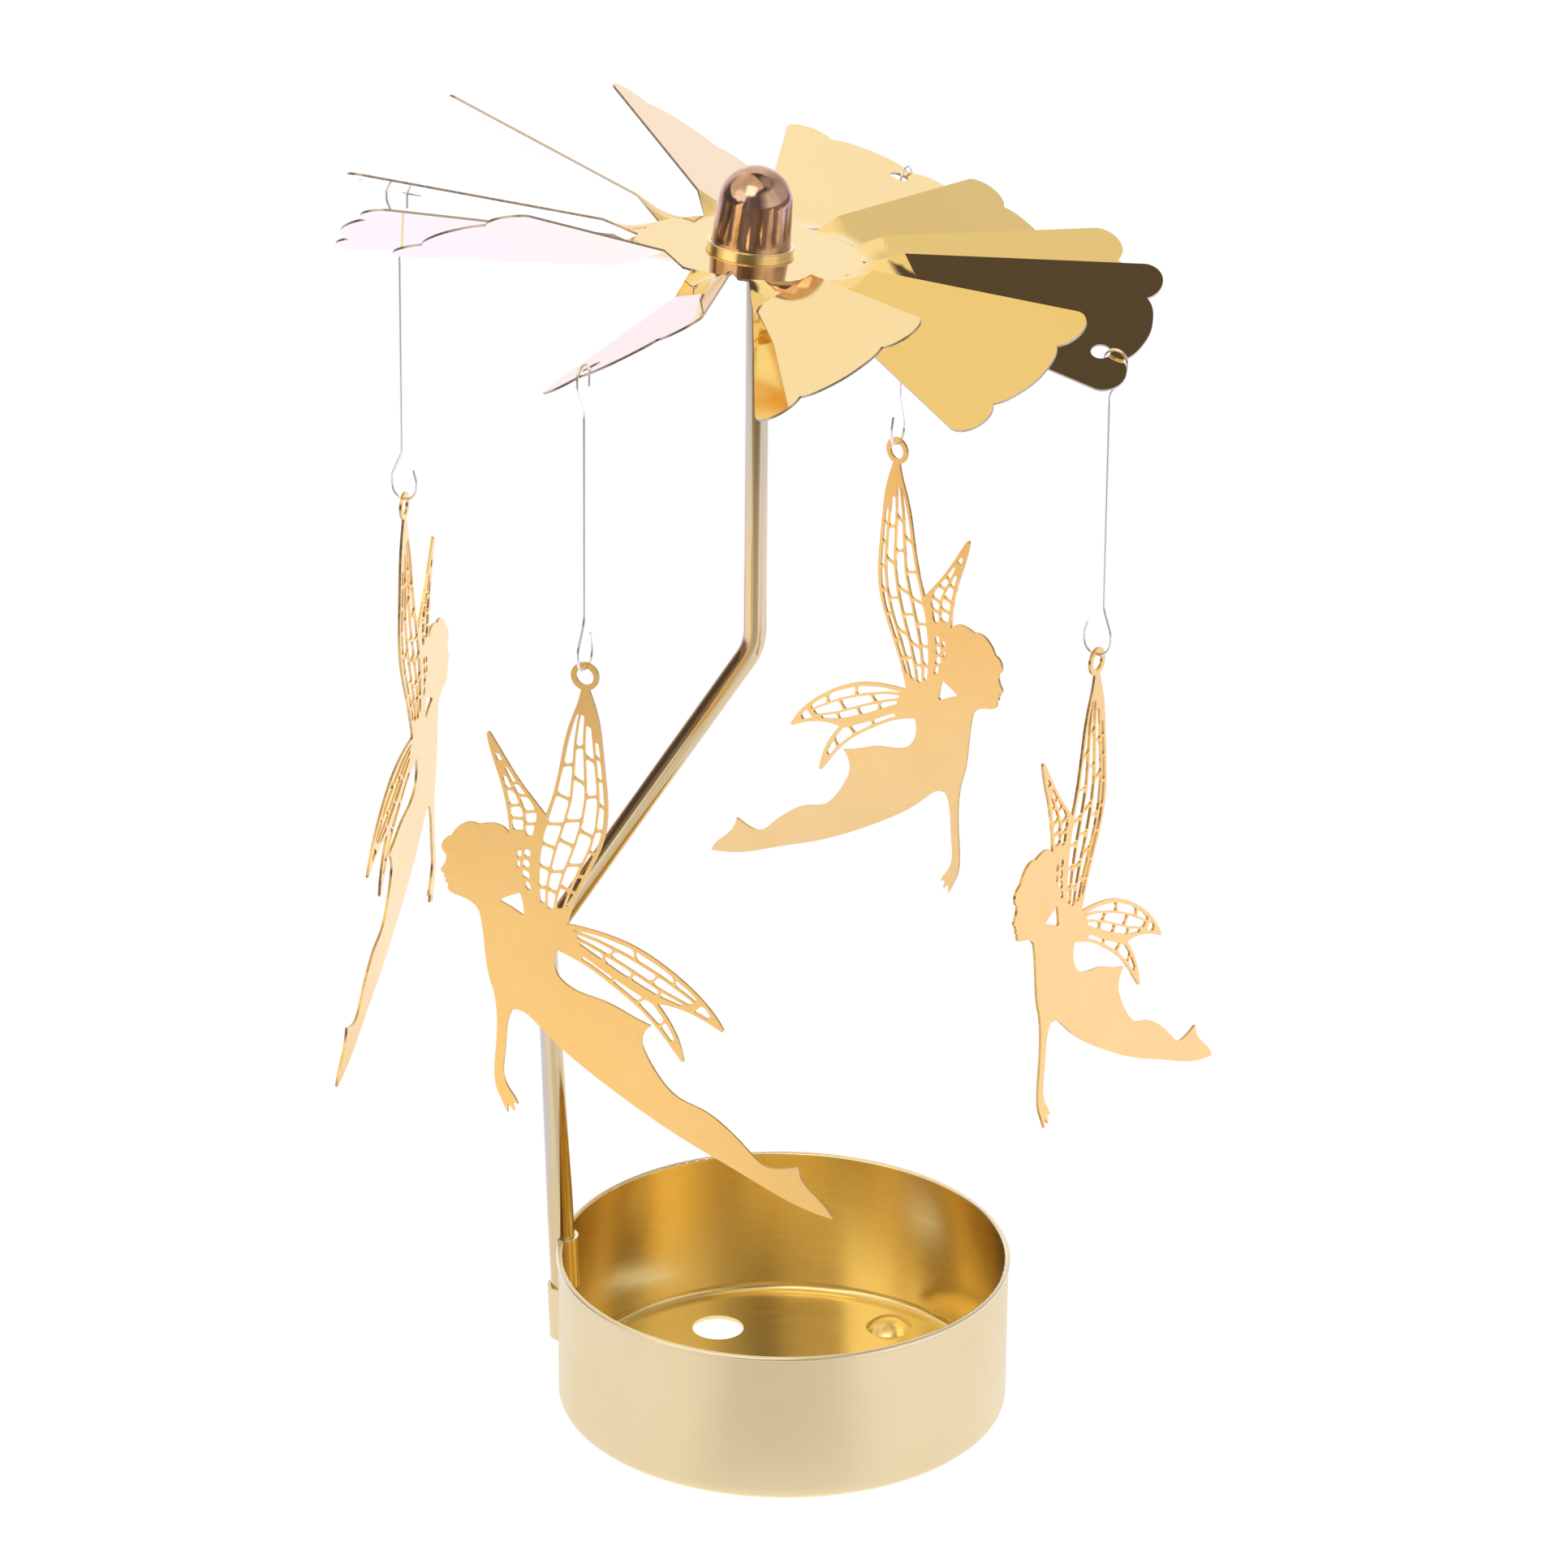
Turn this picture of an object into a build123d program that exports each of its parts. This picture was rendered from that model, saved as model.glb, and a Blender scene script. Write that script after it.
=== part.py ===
from build123d import *
import math
import os

# Rotary tealight carousel: a sheet-metal candle cup, a bent post that stands in
# the cup's wall, and a twelve-blade wheel that turns on the post's point and
# carries four flat winged figures on wire hooks.
# Millimetres, +Z up, origin at the centre of the cup's underside.

# ---------------------------------------------------------------- cup
CUP_R = 30.0            # outside radius of the wall
CUP_H = 21.4            # height to the top of the rim
CUP_T = 0.5             # sheet thickness
CUP_CORNER = 1.7        # outside radius of the bottom corner
RIM_R = 0.42            # radius of the small rolled rim
AIR_HOLE_R = 3.5        # round hole in the floor
AIR_HOLE = (-8.8, 17.9)
PIP_R = 3.1             # pressed pip in the floor
PIP_H = 1.4
PIP = (14.5, 18.6)

# ---------------------------------------------------------------- post
POST_R = 1.5            # rod radius
FOOT_R = 1.75           # swaged foot radius
FOOT_AZ = 171.0         # where the post stands round the cup's wall
FOOT_Z0 = 5.95          # lower end of the rod
FOOT_Z1 = 24.0          # end of the full foot
FOOT_Z2 = 48.0          # end of the taper
BEND_LOW = (-31.7, 5.05, 65.0)
PIVOT = (-4.5, 0.0, 173.45)   # point that the wheel turns on
BEND_HIGH_Z = 109.2
BEND_R_LOW = 8.0
BEND_R_HIGH = 8.0
POINT_LEN = 4.2         # length of the ground point
POINT_R = 0.25          # radius left at the point

# lanced pocket that grips the foot, in the plane of the wall
POCKET_GAP = 0.05
POCKET_Z = (6.3, 13.9, 14.1)  # lower strip bottom, lower strip top, upper strip bottom

# ---------------------------------------------------------------- wheel
SHEET_T = 0.3
WHEEL_LEAN = (0.103, 0.079)   # lean of the wheel's axis towards +X and +Y
HUB_DROP = 9.9          # wheel plane below the pivot, along the wheel's axis
HUB_R = 14.0            # radius where the blades start
ROOT_HALF = 3.1         # half width of a blade at the hub
NECK_R = 18.5           # radius where the twist ends
SIDE_R, SIDE_HALF = 48.4, 11.57   # end of a blade's straight side
BLADE_0 = 12.03         # angle of the first blade
HOLE_AT = (47.3, -5.1)  # hook hole in the blade: radius, offset
HOLE_R = 1.25
# each blade: twist (leading edge down), lift of the tip and yaw, in degrees
BLADES = [
    (24.3, -5.4, 2.6), (23.1, -5.6, 1.0), (12.3, 1.5, 0.0), (28.6, 3.0, -1.1),
    (30.4, 3.0, -0.7), (20.0, -1.8, 0.0), (28.5, 0.1, 0.0), (27.8, 11.2, 0.0),
    (35.1, -3.1, 0.1), (35.4, -0.6, 1.1), (33.5, -2.8, 1.0), (29.1, -2.0, 3.0),
]
# a blade whose twist ends on a slant: radius on its -y side, on its +y side
SLANT = {11: (26.5, 19.0)}

# ---------------------------------------------------------------- hub
CAP_R = 5.05            # dome at its base
CAP_TOP_R = 4.7         # rounding of the dome's top
CAP_H = 10.9            # top of the dome above the wheel plane
CAP_T = 0.45
EYE_T = 0.33            # grommet wall
EYE_RIM_R = 5.65        # lip at the top of the collar
EYE_RIM_T = 0.22
EYE_RIM_Z = 0.62        # underside of the lip above the wheel
EYE_FLANGE_R = 6.6      # flange under the wheel
CENTRE_R = 5.46         # hole in the wheel

# ---------------------------------------------------------------- hooks
WIRE_R = 0.18
LOOP_R = 1.8            # centreline radius of the lower loop
UP_DEPTH = 0.6          # upper loop's centre below the top of the sheet
UP_CLEAR = 0.14         # air between the upper loop and the land it hangs on
SHANK_OUT = 0.5         # shank's place between the upper loop's centre and the lower one's
# blade index, plane of the hook (deg), drop from hole to ring centre, heading of
# the figure (deg), lower loop's centre outward of the upper one's
HANGERS = {
    "left": (5, 153.0, 43.48, 76.0, -0.6),
    "front": (8, 243.0, 39.97, 160.2, -0.4),
    "back": (2, 62.0, 38.8, -42.1, -1.2),
    "right": (11, 334.0, 41.7, 237.7, -1.5),
}

# ---------------------------------------------------------------- figures
FIG_T = 0.35
RING_R = 1.85
RING_HOLE_R = 1.15
VEIN = 0.28             # width of a wing vein
EDGE = 0.45             # width of a wing's rim
CELL_ROUND = 0.4        # rounding of a wing opening's corners


def vec_add(a, b, k=1.0):
    return (a[0] + b[0] * k, a[1] + b[1] * k, a[2] + b[2] * k)


def unit(a):
    n = math.sqrt(sum(c * c for c in a))
    return tuple(c / n for c in a)


def dot(a, b):
    return sum(p * q for p, q in zip(a, b))


def one_solid(shape):
    solids = shape.solids()
    if len(solids) != 1:
        raise ValueError(f"{len(solids)} solids")
    return solids[0]


# ================================================================ cup
def make_cup():
    inner = CUP_R - CUP_T
    ci = CUP_CORNER - CUP_T
    zr = CUP_H - RIM_R
    rim_c = (CUP_R - 0.12, zr)
    k = math.sqrt(0.5)
    prof = [
        Edge.make_line((0, 0, 0), (CUP_R - CUP_CORNER, 0, 0)),
        Edge.make_three_point_arc(
            (CUP_R - CUP_CORNER, 0, 0),
            (CUP_R - CUP_CORNER * (1 - k), 0, CUP_CORNER * (1 - k)),
            (CUP_R, 0, CUP_CORNER)),
    ]
    # the wall runs up to the rolled rim, whose section is a round bead
    dx = CUP_R - rim_c[0]
    z_low = rim_c[1] - math.sqrt(RIM_R ** 2 - dx ** 2)
    dxi = rim_c[0] - inner
    z_in = rim_c[1] + math.sqrt(max(RIM_R ** 2 - dxi ** 2, 0.0))
    prof.append(Edge.make_line((CUP_R, 0, CUP_CORNER), (CUP_R, 0, z_low)))
    prof.append(Edge.make_three_point_arc(
        (CUP_R, 0, z_low), (rim_c[0] + RIM_R, 0, rim_c[1]), (rim_c[0], 0, CUP_H)))
    prof.append(Edge.make_three_point_arc(
        (rim_c[0], 0, CUP_H),
        (rim_c[0] - RIM_R * math.sin(0.5 * math.asin(dxi / RIM_R)), 0,
         rim_c[1] + RIM_R * math.cos(0.5 * math.asin(dxi / RIM_R))),
        (inner, 0, z_in)))
    prof.append(Edge.make_line((inner, 0, z_in), (inner, 0, CUP_CORNER)))
    prof.append(Edge.make_three_point_arc(
        (inner, 0, CUP_CORNER),
        (inner - ci * (1 - k), 0, CUP_T + ci * (1 - k)),
        (inner - ci, 0, CUP_T)))
    prof.append(Edge.make_line((inner - ci, 0, CUP_T), (0, 0, CUP_T)))
    prof.append(Edge.make_line((0, 0, CUP_T), (0, 0, 0)))
    cup = revolve(Face(Wire(prof)), Axis.Z, 360)

    # air hole
    cup -= Pos(AIR_HOLE[0], AIR_HOLE[1], 0) * Cylinder(AIR_HOLE_R, 4)

    # pressed pip: a shallow dome raised from the floor, hollow beneath
    ball = (PIP_R ** 2 + PIP_H ** 2) / (2 * PIP_H)
    zc = CUP_T + PIP_H - ball
    slab = Pos(PIP[0], PIP[1], 5.0) * Box(20, 20, 10)
    dome = (Pos(PIP[0], PIP[1], zc) * Sphere(ball)) & slab
    hollow = (Pos(PIP[0], PIP[1], zc) * Sphere(ball - CUP_T)) & (
        Pos(PIP[0], PIP[1], 4.0) * Box(20, 20, 10))
    cup = cup + dome - hollow

    # lanced pocket round the foot
    foot = foot_plane()
    rad = unit((math.cos(math.radians(FOOT_AZ)), math.sin(math.radians(FOOT_AZ)), 0))
    window = Plane(origin=(0, 0, 0), x_dir=rad, z_dir=(0, 0, 1)).location * (
        Pos(CUP_R - 0.2, 0, (5.8 + 24.0) / 2) * Box(4.0, 2 * 2.0, 24.0 - 5.8))
    cup -= window
    ri = FOOT_R + POCKET_GAP
    ro = ri + 0.45
    tube = foot.location * (Cylinder(ro, 40) - Cylinder(ri, 40))
    lower = foot.location * (Pos(5 - 0.24, 0, 0) * Box(10, 10, 40))
    upper = foot.location * (Pos(-5 + 0.24, 0, 0) * Box(10, 10, 40))
    zl0, zl1, zu0 = POCKET_Z
    low_slab = Pos(-CUP_R, 5, (zl0 + zl1) / 2) * Box(40, 40, zl1 - zl0)
    up_slab = Pos(-CUP_R, 5, (zu0 + CUP_H - 0.15) / 2) * Box(40, 40, CUP_H - 0.15 - zu0)
    strip_out = tube & lower & low_slab
    strip_in = tube & upper & up_slab
    cup = cup + strip_out + strip_in
    return one_solid(cup)


def foot_axis():
    """A point on the foot's axis at mid pocket, and the axis direction."""
    r_mid = CUP_R - CUP_T / 2
    az = math.radians(FOOT_AZ)
    p = (r_mid * math.cos(az), r_mid * math.sin(az), POCKET_Z[1])
    d = unit(tuple(b - a for a, b in zip(p, BEND_LOW)))
    return p, d


def foot_plane():
    p, d = foot_axis()
    az = math.radians(FOOT_AZ)
    return Plane(origin=p, x_dir=(math.cos(az), math.sin(az), 0), z_dir=d)


# ================================================================ post
def make_post():
    p, d = foot_axis()

    def at_z(z):
        return vec_add(p, d, (z - p[2]) / d[2])

    start = at_z(FOOT_Z2)
    high = (PIVOT[0], PIVOT[1], BEND_HIGH_Z)
    top = (PIVOT[0], PIVOT[1], PIVOT[2] - POINT_LEN)
    path = FilletPolyline(start, BEND_LOW, high, top, radius=[BEND_R_LOW, BEND_R_HIGH])
    sec = Plane(origin=start, z_dir=d) * Circle(POST_R)
    rod = sweep(sec, path=path)
    z_mid = 0.5 * (FOOT_Z0 + FOOT_Z1)
    l_foot = (FOOT_Z1 - FOOT_Z0) / d[2]
    l_taper = (FOOT_Z2 - FOOT_Z1) / d[2]
    foot = Plane(origin=at_z(z_mid), z_dir=d).location * Cylinder(FOOT_R, l_foot)
    taper = Plane(origin=at_z(0.5 * (FOOT_Z1 + FOOT_Z2)), z_dir=d).location * Cone(
        FOOT_R, POST_R, l_taper)
    tip = Pos(PIVOT[0], PIVOT[1], PIVOT[2] - POINT_LEN / 2) * Cone(
        POST_R, POINT_R, POINT_LEN)
    post = rod + taper + foot + tip
    # the foot's end is broken with a small chamfer
    low = post.faces().sort_by(Axis.Z)[0]
    post = chamfer(low.edges(), 0.3)
    print("post volume", round(post.volume, 1), "path", round(path.length, 2))
    return one_solid(post)


# ================================================================ wheel
WHEEL_N = unit((WHEEL_LEAN[0], WHEEL_LEAN[1], 1.0))
WHEEL_O = vec_add(PIVOT, WHEEL_N, -HUB_DROP)
_ax = unit(tuple(c - WHEEL_N[0] * n for c, n in zip((1, 0, 0), WHEEL_N)))
WHEEL_PLANE = Plane(origin=WHEEL_O, x_dir=_ax, z_dir=WHEEL_N)

TIP_SMALL = [(SIDE_R, SIDE_HALF), (49.8, 11.33), (51.0, 10.2), (51.45, 8.67),
             (51.15, 6.94), (50.25, 5.76)]
TIP_BIG = [(50.25, 5.76), (51.3, 4.43), (52.0, 2.36), (52.3, 0.0),
           (52.0, -2.36), (51.3, -4.43), (50.25, -5.76)]


def blade_location(i):
    """Flat blade frame (x out along the blade, y anticlockwise) to wheel frame."""
    twist, lift, yaw = BLADES[i]
    return (Rot(0, 0, BLADE_0 + 30 * i + yaw) * Pos(HUB_R, 0, 0) * Rot(0, -lift, 0)
            * Pos(-HUB_R, 0, 0) * Rot(twist, 0, 0))


def blade_point(i, r, l, n=0.0):
    """A point of blade i in the wheel frame."""
    twist, lift, yaw = (math.radians(a) for a in BLADES[i])
    y = l * math.cos(twist) - n * math.sin(twist)
    z = l * math.sin(twist) + n * math.cos(twist)
    x = HUB_R + (r - HUB_R) * math.cos(lift) - z * math.sin(lift)
    z = (r - HUB_R) * math.sin(lift) + z * math.cos(lift)
    a = math.radians(BLADE_0 + 30 * i) + yaw
    return (x * math.cos(a) - y * math.sin(a), x * math.sin(a) + y * math.cos(a), z)


def root_point(i, y, z):
    a = math.radians(BLADE_0 + 30 * i)
    return (HUB_R * math.cos(a) - y * math.sin(a), HUB_R * math.sin(a) + y * math.cos(a), z)


def make_wheel():
    t = SHEET_T / 2
    hub_pts = []
    for i in range(12):
        hub_pts.append(root_point(i, -ROOT_HALF, -t))
        hub_pts.append(root_point(i, ROOT_HALF, -t))
    hub = Solid.extrude(Face(Wire.make_polygon(hub_pts, close=True)), (0, 0, SHEET_T))
    hub -= Cylinder(CENTRE_R, 4)
    hub = hub.solids()[0]

    slope = (SIDE_HALF - ROOT_HALF) / (SIDE_R - HUB_R)
    with_hole = {h[0] for h in HANGERS.values()}
    pieces = []
    for i in range(12):
        r_a, r_b = SLANT.get(i, (NECK_R, NECK_R))
        y_a, y_b = -(ROOT_HALF + slope * (r_a - HUB_R)), ROOT_HALF + slope * (r_b - HUB_R)
        edges = [
            Edge.make_line((r_a, y_a, -t), (r_b, y_b, -t)),
            Edge.make_line((r_b, y_b, -t), (SIDE_R, SIDE_HALF, -t)),
            Edge.make_spline([(x, y, -t) for x, y in TIP_SMALL]),
            Edge.make_spline([(x, y, -t) for x, y in TIP_BIG]),
            Edge.make_spline([(x, -y, -t) for x, y in reversed(TIP_SMALL)]),
            Edge.make_line((SIDE_R, -SIDE_HALF, -t), (r_a, y_a, -t)),
        ]
        blade = Solid.extrude(Face(Wire(edges)), (0, 0, SHEET_T))
        if i in with_hole:
            blade = (blade - Pos(HOLE_AT[0], HOLE_AT[1], 0) * Cylinder(HOLE_R, 4)).solids()[0]
        pieces.append(blade.moved(blade_location(i)))
        w_a = Wire.make_polygon([root_point(i, -ROOT_HALF, -t), root_point(i, ROOT_HALF, -t),
                                 root_point(i, ROOT_HALF, t), root_point(i, -ROOT_HALF, t)],
                                close=True)
        w_b = Wire.make_polygon([blade_point(i, r_a, y_a, -t), blade_point(i, r_b, y_b, -t),
                                 blade_point(i, r_b, y_b, t), blade_point(i, r_a, y_a, t)],
                                close=True)
        pieces.append(Solid.make_loft([w_a, w_b], ruled=True))
    wheel = hub.fuse(*pieces)
    return one_solid(WHEEL_PLANE.location * wheel)


# ================================================================ hub
def make_cap():
    """Dome with a dimple inside its top for the post's point."""
    zt = CAP_H - CAP_TOP_R
    k = math.sqrt(0.5)
    z0 = -0.3
    ri, rti = CAP_R - CAP_T, CAP_TOP_R - CAP_T
    seat = HUB_DROP + 0.06
    # inner surface: straight skirt, rounded top, and a small conical dimple that
    # centres the point
    dim_r, dim_z = 0.9, seat - 0.75
    rr = math.sqrt(max(rti ** 2 - dim_r ** 2, 0))
    z_round = zt + rr
    prof = [
        Edge.make_three_point_arc((0, 0, CAP_H), (CAP_TOP_R * k, 0, zt + CAP_TOP_R * k),
                                  (CAP_TOP_R, 0, zt)),
        Edge.make_line((CAP_TOP_R, 0, zt), (CAP_R, 0, 1.2)),
        Edge.make_line((CAP_R, 0, 1.2), (CAP_R, 0, z0)),
        Edge.make_line((CAP_R, 0, z0), (ri, 0, z0)),
        Edge.make_line((ri, 0, z0), (ri, 0, 1.2)),
        Edge.make_line((ri, 0, 1.2), (rti, 0, zt)),
        Edge.make_three_point_arc((rti, 0, zt), (rti * k, 0, zt + rti * k),
                                  (dim_r, 0, z_round)),
        Edge.make_line((dim_r, 0, z_round), (0.3, 0, seat)),
        Edge.make_line((0.3, 0, seat), (0, 0, seat)),
        Edge.make_line((0, 0, seat), (0, 0, CAP_H)),
    ]
    cap = revolve(Face(Wire(prof)), Axis.Z, 360)
    return one_solid(WHEEL_PLANE.location * cap)


def make_eyelet():
    """Collar: flange under the wheel, barrel through it and a thin lip at its top."""
    t = SHEET_T / 2 + 0.01
    ri = CAP_R + 0.03
    ro = CENTRE_R - 0.02
    pts = [
        (ri, -t - EYE_T), (EYE_FLANGE_R, -t - EYE_T), (EYE_FLANGE_R, -t), (ro, -t),
        (ro, t + EYE_RIM_Z), (EYE_RIM_R, t + EYE_RIM_Z), (EYE_RIM_R, t + EYE_RIM_Z + EYE_RIM_T),
        (ri, t + EYE_RIM_Z + EYE_RIM_T),
    ]
    face = Face(Wire.make_polygon([(x, 0, z) for x, z in pts], close=True))
    ring = revolve(face, Axis.Z, 360)
    rim_edges = [e for e in ring.edges().filter_by(GeomType.CIRCLE)
                 if abs(e.radius - EYE_RIM_R) < 1e-3]
    ring = fillet(rim_edges, 0.09)
    return one_solid(WHEEL_PLANE.location * ring)


# ================================================================ hooks
def tip_radius(l):
    """Radius of the blade's tip edge near the notch, at offset l."""
    pts = sorted([(-y, x) for x, y in TIP_SMALL] + [(y, x) for x, y in TIP_BIG])
    for (y0, x0), (y1, x1) in zip(pts, pts[1:]):
        if y0 <= l <= y1 and y1 > y0:
            return x0 + (x1 - x0) * (l - y0) / (y1 - y0)
    return 50.0


def hanger(name):
    """Points and directions of one hook: everything in the object's frame."""
    i, az, drop, heading, out = HANGERS[name]
    a = math.radians(az)
    e_r = (math.cos(a), math.sin(a), 0.0)

    def world(p):
        q = WHEEL_PLANE.from_local_coords(Vector(*p))
        return (q.X, q.Y, q.Z)

    hole = world(blade_point(i, *HOLE_AT))
    ux = unit(tuple(q - p for p, q in zip(hole, world(blade_point(i, HOLE_AT[0] + 1, HOLE_AT[1])))))
    uy = unit(tuple(q - p for p, q in zip(hole, world(blade_point(i, HOLE_AT[0], HOLE_AT[1] + 1)))))
    nrm = (ux[1] * uy[2] - ux[2] * uy[1], ux[2] * uy[0] - ux[0] * uy[2],
           ux[0] * uy[1] - ux[1] * uy[0])
    m = -dot(nrm, e_r) / nrm[2]
    v = (e_r[0], e_r[1], m)
    vr, vl = dot(v, ux), dot(v, uy)
    # the land under the wire, over the wire's whole width
    side = 0.3
    e_t = (-e_r[1], e_r[0], 0.0)
    w = (e_t[0], e_t[1], -dot(nrm, e_t) / nrm[2])
    wr, wl = dot(w, ux), dot(w, uy)
    edge = 0.0
    for k in (-side, 0.0, side):
        rho = HOLE_R
        while (HOLE_AT[0] + rho * vr + k * wr < tip_radius(HOLE_AT[1] + rho * vl + k * wl)
               and rho < 8):
            rho += 0.01
        edge = max(edge, rho)
    inner = math.sqrt(HOLE_R ** 2 - side ** 2) / math.sqrt(1 + m * m)
    rc = 0.5 * (inner + edge)
    half = 0.5 * (edge - inner) * math.sqrt(1 + m * m)
    # the upper loop clears both edges of the land it hangs on
    h = UP_DEPTH
    r_up = math.sqrt(half ** 2 + h ** 2) + WIRE_R + UP_CLEAR
    lean = math.sqrt(1 + m * m)
    zc = m * rc + 0.5 * SHEET_T / nrm[2] - h / lean
    upper = vec_add(vec_add(hole, e_r, rc + h * m / lean), (0, 0, zc))
    ring_z = hole[2] - drop
    wire_z = ring_z + RING_HOLE_R - WIRE_R - 0.05
    under = vec_add(upper, e_r, out)
    lower = (under[0], under[1], wire_z + LOOP_R)
    wire = (under[0], under[1], wire_z)
    ring = (under[0], under[1], ring_z)
    return dict(e_r=e_r, hole=hole, upper=upper, lower=lower, wire=wire, ring=ring,
                heading=heading, land=half * 2, r_up=r_up, out=out)


def make_hook(name):
    g = hanger(name)
    e, top, low = g["e_r"], g["upper"], g["lower"]

    def p(base, rho, z):
        return (base[0] + e[0] * rho, base[1] + e[1] * rho, base[2] + z)

    R, U = LOOP_R, g["r_up"]
    pts = [
        p(top, -U, -1.6), p(top, -U, U), p(top, U, U), p(top, U, -1.3),
        p(top, SHANK_OUT * g["out"], -4.6), p(low, (SHANK_OUT - 1) * g["out"], 4.6),
        p(low, R, 1.3), p(low, R, -R), p(low, -R, -R), p(low, -R, 1.0), p(low, -R + 0.45, 2.5),
    ]
    radii = [U - 0.01, U - 0.01, 2.0, 3.0, 3.0, 2.0, R - 0.01, R - 0.01, 1.5]
    path = FilletPolyline(*pts, radius=radii)
    sec = Plane(origin=pts[0], z_dir=(0, 0, 1)) * Circle(WIRE_R)
    hook = sweep(sec, path=path)
    print("hook", name, "volume", round(hook.volume, 3), "section times length",
          round(math.pi * WIRE_R ** 2 * path.length, 3), "land", round(g["land"], 2))
    return one_solid(hook)


# ================================================================ figures
def resample(pts, s):
    """Point at fraction s of a polyline's length."""
    lens = [math.dist(a, b) for a, b in zip(pts, pts[1:])]
    total = sum(lens)
    want = s * total
    for (a, b), l in zip(zip(pts, pts[1:]), lens):
        if want <= l or (a, b) == (pts[-2], pts[-1]):
            f = min(max(want / l, 0.0), 1.0)
            return (a[0] + (b[0] - a[0]) * f, a[1] + (b[1] - a[1]) * f)
        want -= l
    return pts[-1]


def signed_area(poly):
    return 0.5 * sum(a[0] * b[1] - b[0] * a[1] for a, b in zip(poly, poly[1:] + poly[:1]))


def inset(poly, widths):
    """Move each edge of an anticlockwise polygon inward by its own width."""
    n = len(poly)
    lines = []
    for i in range(n):
        a, b = poly[i], poly[(i + 1) % n]
        l = math.dist(a, b)
        d = ((b[0] - a[0]) / l, (b[1] - a[1]) / l)
        lines.append(((a[0] - d[1] * widths[i], a[1] + d[0] * widths[i]), d))
    out = []
    for i in range(n):
        (p, d), (q, e) = lines[i - 1], lines[i]
        den = d[0] * e[1] - d[1] * e[0]
        if abs(den) < 1e-3:
            out.append(q)
            continue
        k = ((q[0] - p[0]) * e[1] - (q[1] - p[1]) * e[0]) / den
        out.append((p[0] + d[0] * k, p[1] + d[1] * k))
    return out


def soften(poly, r):
    """Round the sharp corners of a polygon."""
    n = len(poly)
    out = []
    for i in range(n):
        a, b, c = poly[i - 1], poly[i], poly[(i + 1) % n]
        u, v = (a[0] - b[0], a[1] - b[1]), (c[0] - b[0], c[1] - b[1])
        lu, lv = math.hypot(*u), math.hypot(*v)
        cos_in = (u[0] * v[0] + u[1] * v[1]) / (lu * lv)
        if 180 - math.degrees(math.acos(max(-1.0, min(1.0, cos_in)))) < 25:
            out.append(b)
            continue
        k = min(r, 0.42 * lu, 0.42 * lv)
        p = (b[0] + u[0] / lu * k, b[1] + u[1] / lu * k)
        q = (b[0] + v[0] / lv * k, b[1] + v[1] / lv * k)
        out += [p, (0.25 * p[0] + 0.5 * b[0] + 0.25 * q[0],
                    0.25 * p[1] + 0.5 * b[1] + 0.25 * q[1]), q]
    return out


def line_at(line, s):
    """Place of a vein across the wing at s along it."""
    for (s0, t0), (s1, t1) in zip(line, line[1:]):
        if s <= s1 or (s1, t1) == line[-1]:
            f = min(max((s - s0) / (s1 - s0), 0.0), 1.0)
            return t0 + (t1 - t0) * f
    return line[-1][1]


def cells(side_a, side_b, veins, bands):
    """Openings of a wing between two edges. Veins are lines of (s, t), along and
    across the wing. A band lies between two veins, and its cross veins are given
    by their s on either side."""
    lines = [[(0.0, 0.0), (1.0, 0.0)]] + veins + [[(0.0, 1.0), (1.0, 1.0)]]
    last = len(lines) - 1
    length = 0.5 * (sum(math.dist(a, b) for a, b in zip(side_a, side_a[1:]))
                    + sum(math.dist(a, b) for a, b in zip(side_b, side_b[1:])))

    def at(s, line):
        a, b = resample(side_a, s), resample(side_b, s)
        t = line_at(lines[line], s)
        return (a[0] + (b[0] - a[0]) * t, a[1] + (b[1] - a[1]) * t)

    out = []
    half = 0.5 * VEIN
    for lo, hi, cuts in bands:
        for (a0, b0), (a1, b1) in zip(cuts, cuts[1:]):
            n = max(2, round((a1 - a0) * length / 1.3))
            poly = [at(a0 + (a1 - a0) * k / n, lo) for k in range(n + 1)]
            poly += [at(b1 + (b0 - b1) * k / n, hi) for k in range(n + 1)]
            w = [EDGE if lo == 0 else half] * n + [half]
            w += [EDGE if hi == last else half] * n + [half]
            if signed_area(poly) < 0:
                poly, w = poly[::-1], w[-2::-1] + w[-1:]
            cell = inset(poly, w)
            if signed_area(cell) > 0.18:
                out.append(soften(cell, CELL_ROUND))
    return out


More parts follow.
